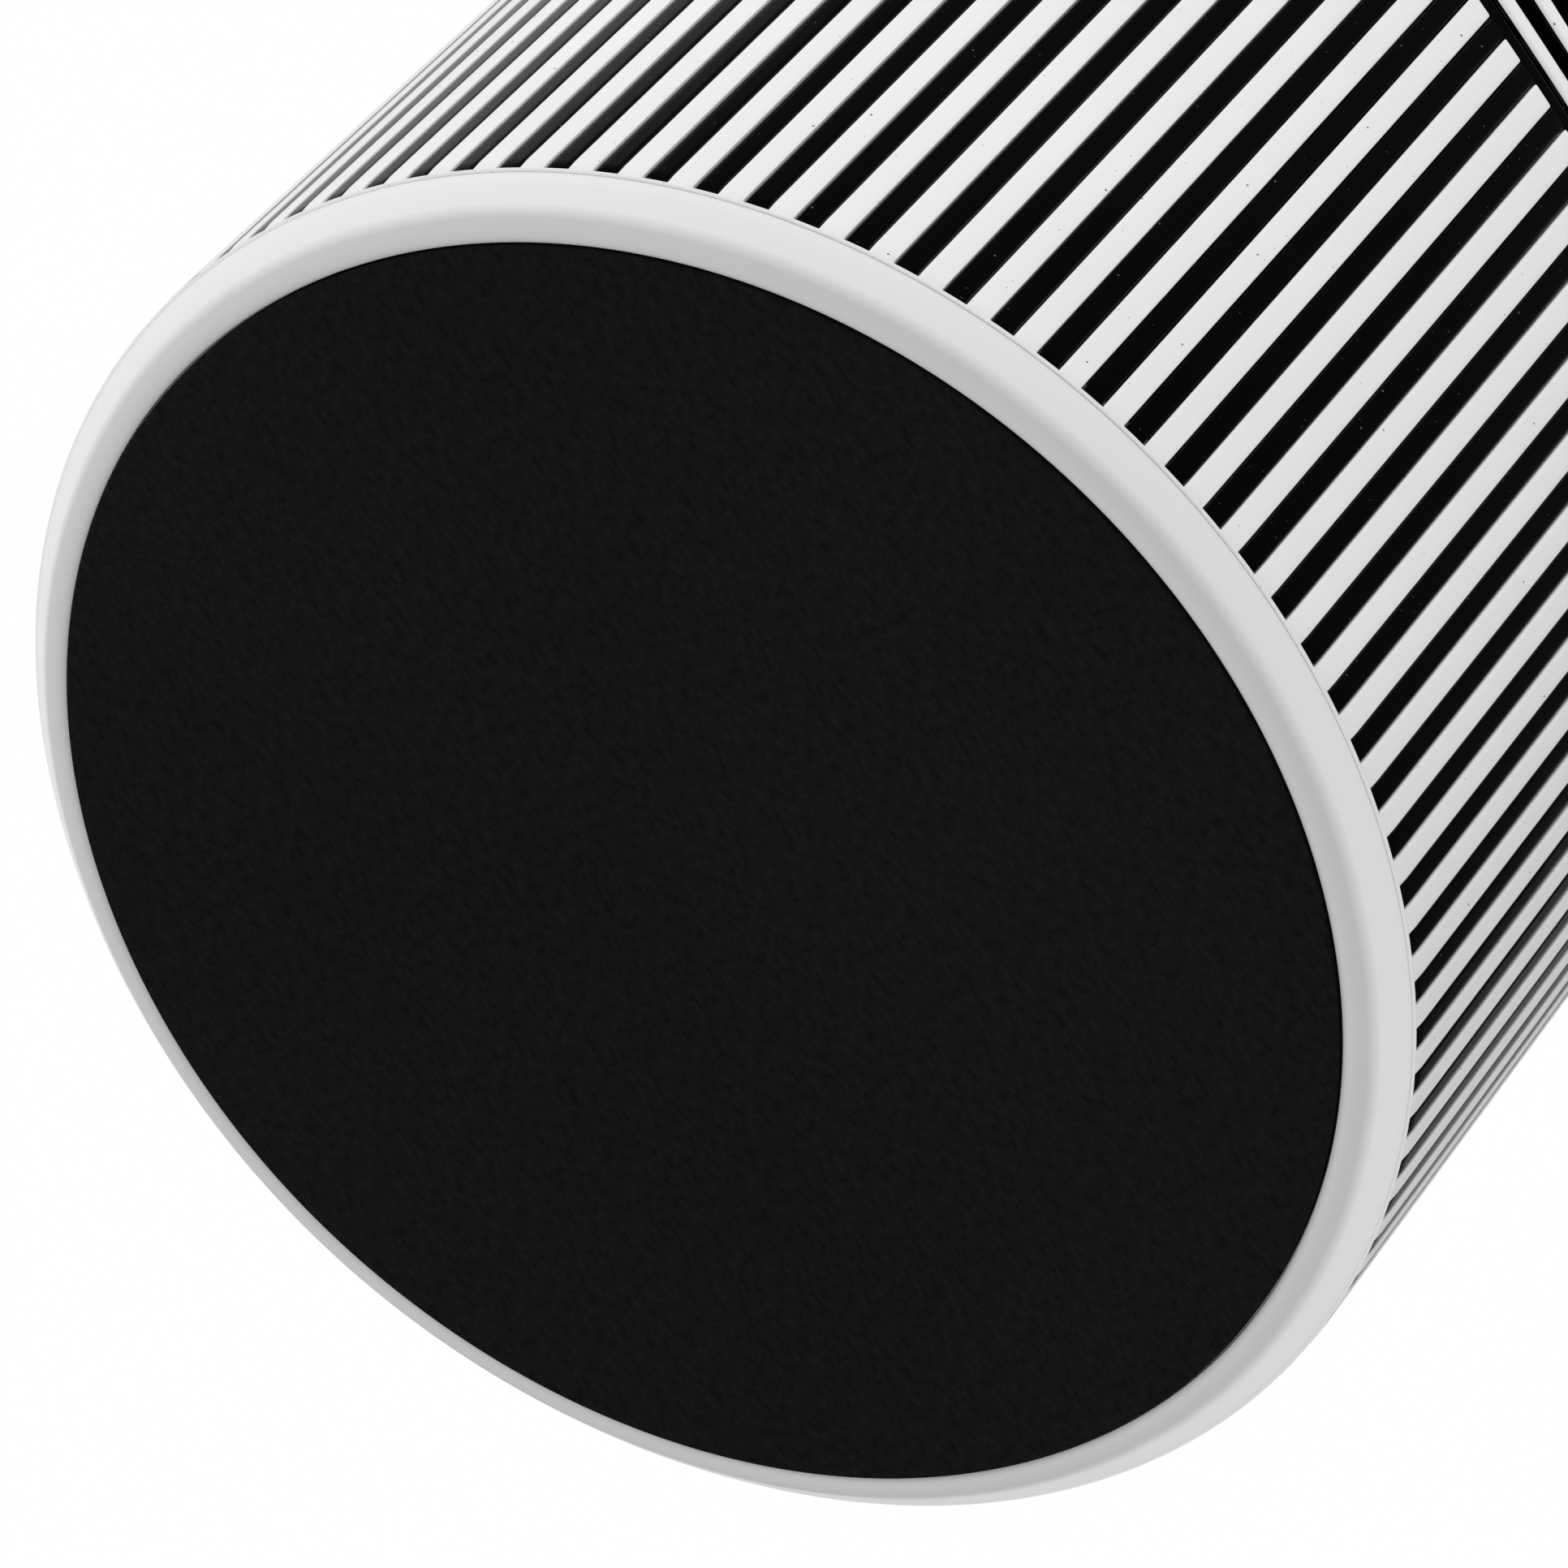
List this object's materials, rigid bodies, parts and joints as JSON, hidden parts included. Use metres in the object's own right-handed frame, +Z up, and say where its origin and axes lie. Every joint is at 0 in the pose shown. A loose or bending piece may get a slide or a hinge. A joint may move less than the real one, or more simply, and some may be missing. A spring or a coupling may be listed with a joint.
{
  "type": "air purifier",
  "caption": "Cylindrical room air purifier with a striped louvred shell, a round ringed front outlet, a lift-off housing over a drum filter, and push buttons on top.",
  "frame": {"origin": "centre of the base pad's lower face, on the body's axis", "axes": "+Z up along the body's axis, -Y towards the round outlet (front), +X to the right seen from the front turned about +Z"},
  "size_m": [0.21, 0.21, 0.35],
  "materials": {
    "white_shell": "satin",
    "white_ring": "satin",
    "black_gloss": "gloss",
    "black_pad": "matte, felt-like grain",
    "dark_matte": "matte",
    "grey_plastic": "matte",
    "steel": "satin",
    "magnet": "polished",
    "copper": "satin",
    "bronze": "satin",
    "filter_paper": "matte",
    "filter_mesh": "matte",
    "foam": "matte",
    "carbon": "matte",
    "filter_cap": "satin",
    "handle": "satin",
    "board": "gloss",
    "chips": "matte",
    "light": "gloss, lit",
    "panel": "satin",
    "button": "satin",
    "wire": "matte"
  },
  "bodies": {
    "base": {"base_ring": "white_ring", "base_pad": "black_pad", "base_plate": "grey_plastic", "base_magnets": "magnet", "base_screws": "steel"},
    "housing": {"outer_shell": "white_shell", "louvre_cage": "black_gloss", "catch_plates": "steel", "outlet_rings": "white_shell", "outlet_spider": "black_gloss", "outlet_duct": "dark_matte", "fan_deck": "dark_matte", "plenum_liner": "grey_plastic", "plenum_lid": "grey_plastic", "fan_shroud": "dark_matte", "shroud_screws": "steel", "motor_stator": "copper", "fan_bearings": "bronze", "top_ring": "white_ring", "top_panel": "panel", "light_ring": "light", "indicator_lenses": "light", "control_board": "board", "board_switches": "chips", "main_board": "board", "board_parts": "chips", "board_screws": "steel", "power_inlet": "dark_matte", "wiring": "wire", "dust_sensor": "dark_matte", "door_pin": "steel"},
    "filter": {"filter_media": "filter_paper", "filter_core": "carbon", "pre_filter": "filter_mesh", "filter_cap_lower": "filter_cap", "filter_cap_upper": "filter_cap", "filter_seal": "foam", "filter_handle": "handle"},
    "fan": {"impeller": "dark_matte", "fan_shaft": "steel", "rotor_magnet": "magnet"},
    "power_button": {"power_button": "button"},
    "speed_button": {"speed_button": "button"},
    "timer_button": {"timer_button": "button"},
    "sensor_door": {"sensor_door": "white_shell"}
  },
  "joints": [
    {"name": "housing_lift", "type": "slide", "parent": "base", "child": "housing", "axis": [0, 0, 1], "range_m": [0, 0.2]},
    {"name": "filter_lift", "type": "slide", "parent": "base", "child": "filter", "axis": [0, 0, 1], "range_m": [0, 0.08]},
    {"name": "fan_spin", "type": "hinge", "parent": "housing", "child": "fan", "pos_m": [0, 0, 0.2136], "axis": [0, -1, 0], "continuous": true},
    {"name": "power_press", "type": "slide", "parent": "housing", "child": "power_button", "axis": [0, 0, -1], "range_m": [0, 0.0008], "stiffness_N_per_m": 1000},
    {"name": "speed_press", "type": "slide", "parent": "housing", "child": "speed_button", "axis": [0, 0, -1], "range_m": [0, 0.0008], "stiffness_N_per_m": 1000},
    {"name": "timer_press", "type": "slide", "parent": "housing", "child": "timer_button", "axis": [0, 0, -1], "range_m": [0, 0.0008], "stiffness_N_per_m": 1000},
    {"name": "sensor_door_swing", "type": "hinge", "parent": "housing", "child": "sensor_door", "pos_m": [0.08176, 0.06388, 0.3245], "axis": [0, 0, -1], "range_deg": [0, 100]}
  ],
  "couplings": [
    {"joint": "filter_lift", "follows": "housing_lift", "ratio": 0.4}
  ]
}
